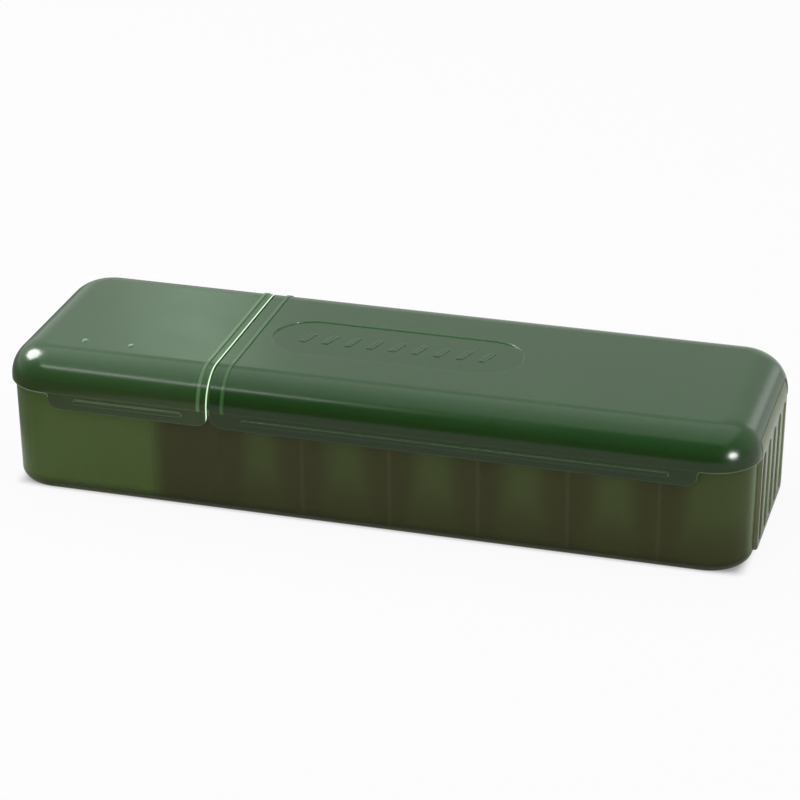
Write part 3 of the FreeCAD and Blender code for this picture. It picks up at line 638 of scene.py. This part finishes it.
@dataclass
class Tray(Assembly):
    """The tray, with painted shade on its wall where a partition stands behind it."""

    main_partition: str = "main_partition"
    cell_partitions: tuple[str, ...] = ()
    # Painted shade: the wall's colour beside a partition and towards the bottom, and a pale painted
    # line at each partition.
    shaded: Colour = (0.080, 0.086, 0.022)
    line: Colour = (0.20, 0.25, 0.11)
    line_share: float = 0.18
    line_half: float = 0.0006
    cell_near: float = 0.005
    cell_far: float = 0.015
    cell_least: float = 0.58
    main_shift: float = -0.008
    main_near: float = 0.016
    main_far: float = 0.024
    open_start: float = 0.0195
    open_end: float = 0.0285
    low_shade: float = 0.92
    low_shade_top: float = 0.026
    low_shade_foot: float = 0.008
    outer_side: float = -0.012
    # Painted shade on the foot of the tray.
    foot: Colour = (0.03, 0.036, 0.012)
    foot_top: float = 0.0065
    foot_low: float = 0.0015
    upward: float = 0.3
    # Painted light on the forward-facing sides of the grip panels and their grooves.
    panel_start: float = 0.1425
    panel_half: float = 0.0285
    panel_turn_start: float = 0.2
    panel_turn_end: float = 0.8
    panel_glow: Colour = (0.054, 0.047, 0.042)

    def mark(self, wiring: Wiring, surface: Surface, coat: Coat) -> None:
        """Add painted shade beside the partitions and on the foot, and painted light on the
        grooves.

        Args:
            wiring: The finish's node tree.
            surface: Coordinates on the tray.
            coat: The finish so far, changed in place.
        """
        self.mark_walls(wiring, surface, coat)
        self.mark_foot(wiring, surface, coat)
        self.mark_panels(wiring, surface, coat)

    def mark_walls(self, wiring: Wiring, surface: Surface, coat: Coat) -> None:
        """Paint shade on the outside of the long walls where a partition stands and towards the
        bottom, with a pale painted line at each cell.

        Args:
            wiring: The finish's node tree.
            surface: Coordinates on the tray.
            coat: The finish so far, changed in place.
        """
        # Painted shade beside each partition and towards the bottom, on outer faces only, with a
        # pale painted line at each partition.
        main = self.middle(self.main_partition)
        shade = self.shade(wiring, surface.x, main + self.main_shift, self.main_near, self.main_far)
        line: Value = 0.0
        for name in self.cell_partitions:
            place = self.middle(name)
            beside = self.shade(wiring, surface.x, place, self.cell_near, self.cell_far)
            shade = wiring.most(shade, beside)
            line = wiring.most(line, wiring.near(surface.x, place, self.line_half))
        lower = wiring.ramp(
            surface.z, self.low_shade_top, self.low_shade_foot, self.cell_least, self.low_shade
        )
        inside = wiring.ramp(surface.x, main - self.open_end, main - self.open_start)
        outer = wiring.below(wiring.times(surface.y, surface.front), self.outer_side)
        shade = wiring.times(wiring.most(shade, lower), inside, outer)
        coat.colour = wiring.blend(shade, coat.colour, self.shaded)
        line = wiring.times(line, self.line_share, outer)
        coat.colour = wiring.blend(line, coat.colour, self.line)

    def mark_foot(self, wiring: Wiring, surface: Surface, coat: Coat) -> None:
        """Paint shade on the foot of the tray, but not on its floor inside.

        Args:
            wiring: The finish's node tree.
            surface: Coordinates on the tray.
            coat: The finish so far, changed in place.
        """
        low = wiring.ramp(surface.z, self.foot_top, self.foot_low)
        low = wiring.times(low, wiring.below(surface.top, self.upward))
        coat.colour = wiring.blend(low, coat.colour, self.foot)

    def mark_panels(self, wiring: Wiring, surface: Surface, coat: Coat) -> None:
        """Paint light on the forward-facing sides of the grip panels and of their grooves.

        Args:
            wiring: The finish's node tree.
            surface: Coordinates on the tray.
            coat: The finish so far, changed in place.
        """
        outward = wiring.above(wiring.math(Sum.ABSOLUTE, surface.x), self.panel_start)
        within = wiring.below(wiring.math(Sum.ABSOLUTE, surface.y), self.panel_half)
        forward = wiring.ramp(surface.front, self.panel_turn_start, self.panel_turn_end)
        side = wiring.times(outward, within, forward)
        coat.rest = wiring.blend(side, coat.rest, self.panel_glow)

    @staticmethod
    def middle(name: str) -> float:
        """The middle of a partition along the box, in metres."""
        low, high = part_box(name)
        return (low[0] + high[0]) / 2

    def shade(
        self, wiring: Wiring, along: Value, place: float, near: float, far: float
    ) -> Socket:
        """How much painted shade the wall gets beside a place: full until near, and at its least
        from far on.
        """
        return wiring.ramp(wiring.off(along, place), near, far, 1.0, self.cell_least)


@dataclass
class CableBox:
    """The whole box: the tray, its two lids, its partitions and its hinge pins."""

    # The edge and glow colours of each plastic are painted highlights on its edges.
    lid_sharp: Plastic = Plastic(
        "short_lid_green", base=(0.054, 0.158, 0.050), cloud=(0.066, 0.178, 0.061),
        edge=(0.62, 0.80, 0.58), glow=(0.05, 0.075, 0.045),
    )
    lid_deep: Plastic = Plastic(
        "long_lid_green", base=(0.027, 0.118, 0.024), cloud=(0.035, 0.134, 0.031),
        edge=(0.45, 0.62, 0.42), glow=(0.03, 0.05, 0.028),
    )
    olive: Plastic = Plastic(
        "tray_green", base=(0.137, 0.210, 0.055), cloud=(0.150, 0.230, 0.062),
        edge=(0.30, 0.38, 0.16), glow=(0.012, 0.018, 0.008), gloss=0.25, transmission=0.5,
        bend=1.24, edge_share=0.3,
    )
    dull_olive: Plastic = Plastic(
        "partition_green", base=(0.10, 0.12, 0.04), cloud=(0.12, 0.14, 0.05),
        edge=(0.30, 0.38, 0.2), glow=(0.02, 0.03, 0.014), gloss=0.3, transmission=0.5,
        bend=1.3, edge_share=0.3,
    )
    steel: DrawnSteel = DrawnSteel("pin_steel")

    def build(self) -> None:
        """Make the shared effects and dress every part of the box."""
        effects = {kind.name: kind.build() for kind in (MouldedSkin(), PaintedEdgeHighlight())}
        cells = tuple(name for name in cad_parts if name.startswith("cell_partition"))
        pins = tuple(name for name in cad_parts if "_pin_" in name)
        parts = (
            Tray(("tray",), Slot.TRAY, self.olive, cell_partitions=cells),
            Lid(
                ("short_lid",), Slot.LID, self.lid_sharp, ridge_place=-0.0643,
                seam_start=-0.0613,
            ),
            Lid(
                ("long_lid",), Slot.LID, self.lid_deep, ridge_place=-0.0549, oval=Oval(),
                side=(0.020, 0.055, 0.003), rim_glow=(0.06, 0.14, 0.05),
                ridge_glow=(0.025, 0.05, 0.022),
            ),
            Assembly(("main_partition", *cells), Slot.PARTITION, self.dull_olive),
            Assembly(pins, Slot.PIN, self.steel),
        )
        for part in parts:
            part.build(effects)


@dataclass
class Camera:
    """The photograph's view."""

    place: Place = (0.2784195, -0.9622495, 0.5041988)
    right: Place = (0.961365129, 0.275248449, -0.003921761)
    up: Place = (-0.113518100, 0.409385063, 0.905272065)
    back: Place = (0.250780243, -0.869851804, 0.424814205)
    lens: float = 130.24651
    sensor: float = 36.0
    nearest: float = 0.05
    farthest: float = 20.0

    def build(self) -> None:
        """Place the camera."""
        data = bpy.data.cameras.new("camera")
        data.lens = self.lens
        data.sensor_width = self.sensor
        data.clip_start = self.nearest
        data.clip_end = self.farthest
        camera = bpy.data.objects.new("camera", data)
        bpy.context.scene.collection.objects.link(camera)
        turn = Matrix((self.right, self.up, self.back)).transposed()
        camera.matrix_world = Matrix.LocRotScale(Vector(self.place), turn, None)
        bpy.context.scene.camera = camera


@dataclass
class Softbox:
    """An area light that points at the box."""

    name: str
    place: Place
    size: tuple[float, float]
    power: float
    target: Place = (0.0, 0.0, 0.03)
    shape: LampShape = LampShape.PANEL
    reach: LampReach = LampReach.EVERYTHING
    tint: Colour = WHITE

    def build(self) -> None:
        """Place the light."""
        data = bpy.data.lights.new(self.name, "AREA")
        data.shape = self.shape.value
        data.size = self.size[0]
        if self.shape is LampShape.PANEL:
            data.size_y = self.size[1]
        data.energy = self.power
        data.color = self.tint
        lamp = bpy.data.objects.new(self.name, data)
        bpy.context.scene.collection.objects.link(lamp)
        lamp.location = self.place
        lamp.rotation_mode = "QUATERNION"
        way = Vector(self.target) - Vector(self.place)
        lamp.rotation_quaternion = way.to_track_quat("-Z", "Y")
        lamp.visible_camera = False
        if self.reach is LampReach.SURFACES:
            lamp.visible_glossy = False
        if self.reach is LampReach.REFLECTIONS:
            lamp.visible_diffuse = False
            lamp.visible_transmission = False


@dataclass
class Studio:
    """Pale floor, white surroundings and soft light."""

    floor_half: float = 3.0
    floor_colour: Colour = (0.82, 0.82, 0.82)
    floor_white: float = 0.92
    # Painted contact shadow: under and beside the box's footprint the floor's glow drops to a dim
    # painted glow, wider in reflections.
    floor_under: float = 0.25
    footprint: tuple[float, float] = (0.138, 0.038)
    shade_reach: float = 0.006
    mirrored_shade_reach: float = 0.035
    # Painted shade: to the left of the box, the floor looks darker in reflections.
    reflection_shade_start: float = -0.14
    reflection_shade_end: float = -0.19
    reflection_shade_depth: float = 0.8
    sky: float = 0.3
    sky_front: float = -0.6
    sky_back: float = 0.4
    mirrored_front: float = 0.08
    mirrored_back: float = 0.92
    softboxes: tuple[Softbox, ...] = (
        Softbox("overhead", (0.0, 0.15, 1.1), (1.8, 1.6), 9.5, (0.0, 0.15, 0.0)),
        Softbox("front_strip", (-0.65, -0.87, 1.18), (0.5, 0.12), 2.2),
        Softbox(
            "left_fill", (-1.096, 0.229, 0.939), (0.6, 0.6), 4.0, (-0.1325, -0.0387, 0.055),
            LampShape.PANEL, LampReach.SURFACES,
        ),
        Softbox(
            "left_spot", (-0.993, 0.20, 0.844), (0.58, 0.58), 22.0, (-0.1325, -0.0387, 0.055),
            LampShape.ROUND, LampReach.REFLECTIONS,
        ),
        Softbox(
            "right_fill", (1.227, -0.734, 0.425), (0.5, 0.38), 2.5, (0.137, -0.042, 0.049),
            LampShape.PANEL, LampReach.SURFACES,
        ),
        Softbox(
            "right_spot", (1.11, -0.66, 0.385), (0.40, 0.40), 16.0, (0.137, -0.042, 0.049),
            LampShape.ROUND, LampReach.REFLECTIONS,
        ),
        Softbox(
            "back_spot", (0.632, 1.044, 0.338), (0.14, 0.40), 0.22, (0.14, 0.0, 0.05),
            LampShape.PANEL, LampReach.REFLECTIONS,
        ),
        Softbox(
            "seam_spot", (-0.472, 1.045, 0.55), (0.10, 0.10), 0.045, (-0.08, -0.005, 0.0565),
            LampShape.ROUND, LampReach.REFLECTIONS, (0.72, 1.0, 0.72),
        ),
    )

    def build(self) -> None:
        """Make the floor, the surroundings and the lights."""
        self.lay_floor()
        self.hang_sky()
        for softbox in self.softboxes:
            softbox.build()
        bpy.context.scene.view_settings.view_transform = "Standard"

    @staticmethod
    def seen(wiring: Wiring) -> Socket:
        """1 for what the camera, a reflection or a view through plastic sees.

        Args:
            wiring: The floor's or the surroundings' node tree.

        Returns:
            The value's socket.
        """
        sight = wiring.math(
            Sum.ADD, wiring.ray(Ray.CAMERA), wiring.ray(Ray.REFLECTION), clamp=True
        )
        return wiring.math(Sum.ADD, sight, wiring.ray(Ray.THROUGH), clamp=True)

    def beside_box(self, wiring: Wiring) -> Socket:
        """A painted contact shadow: 0 on the floor under the box, rising to 1 a little way beside
        it, further in reflections.

        Args:
            wiring: The floor's node tree.

        Returns:
            The value's socket.
        """
        x, y, _ = wiring.axes(wiring.where(Space.OBJECT))
        across = wiring.beyond(x, self.footprint[0])
        along = wiring.beyond(y, self.footprint[1])
        longer = self.mirrored_shade_reach - self.shade_reach
        reach = wiring.math(
            Sum.MULTIPLY_ADD, wiring.ray(Ray.REFLECTION), longer, self.shade_reach
        )
        return wiring.ramp(wiring.distance(across, along), 0.0, reach)

    def lay_floor(self) -> None:
        """Lay a large pale floor that keeps a faint shadow, and take its glow out in a painted
        contact shadow round the box, leaving a dim painted glow under it.
        """
        mesh = bpy.data.meshes.new("floor")
        half = self.floor_half
        corners = [(-half, -half, 0), (half, -half, 0), (half, half, 0), (-half, half, 0)]
        mesh.from_pydata(corners, [], [(0, 1, 2, 3)])
        floor = bpy.data.objects.new("floor", mesh)
        bpy.context.scene.collection.objects.link(floor)
        material, wiring = new_material("floor_white")
        matt = wiring.add("BsdfDiffuse", Color=self.floor_colour)
        # Painted contact shadow: the glow is taken out round the box's footprint, down to a dim
        # painted glow under it.
        clear = wiring.math(
            Sum.MULTIPLY_ADD, self.beside_box(wiring), self.floor_white - self.floor_under,
            self.floor_under,
        )
        share = wiring.times(self.seen(wiring), clear)
        # Painted shade on the floor as reflections show it, growing towards the left.
        x, _, _ = wiring.axes(wiring.where(Space.OBJECT))
        reflection_shade = wiring.ramp(x, self.reflection_shade_start, self.reflection_shade_end, 0.0, self.reflection_shade_depth)
        bright = wiring.without(wiring.times(wiring.ray(Ray.REFLECTION), reflection_shade))
        glow = wiring.add("Emission", Color=WHITE, Strength=bright)
        mixed = wiring.add("MixShader", at0=share, at1=matt.outputs[0], at2=glow.outputs[0])
        wiring.add("OutputMaterial", Surface=mixed.outputs[0])
        mesh.materials.append(material)

    def hang_sky(self) -> None:
        """Hang white surroundings that a reflection shows dimmer towards the front."""
        world = bpy.data.worlds.new("surroundings")
        bpy.context.scene.world = world
        world.use_nodes = True
        world.node_tree.nodes.clear()
        wiring = Wiring(world.node_tree)
        _, toward, _ = wiring.axes(wiring.where(Space.GENERATED))
        mirrored = wiring.ramp(
            toward, self.sky_front, self.sky_back, self.mirrored_front, self.mirrored_back
        )
        plain = wiring.math(Sum.MULTIPLY_ADD, self.seen(wiring), 1.0 - self.sky, self.sky)
        dimmed = wiring.times(wiring.ray(Ray.REFLECTION), wiring.without(mirrored))
        strength = wiring.math(Sum.SUBTRACT, plain, dimmed)
        light = wiring.add("Background", Color=WHITE, Strength=strength)
        wiring.add("OutputWorld", Surface=light.outputs[0])


def main() -> None:
    """Build the box, its surroundings and the camera."""
    logging.basicConfig(level=logging.INFO, format="%(message)s")
    CableBox().build()
    Studio().build()
    Camera().build()
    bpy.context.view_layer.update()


if __name__ == "__main__":
    main()
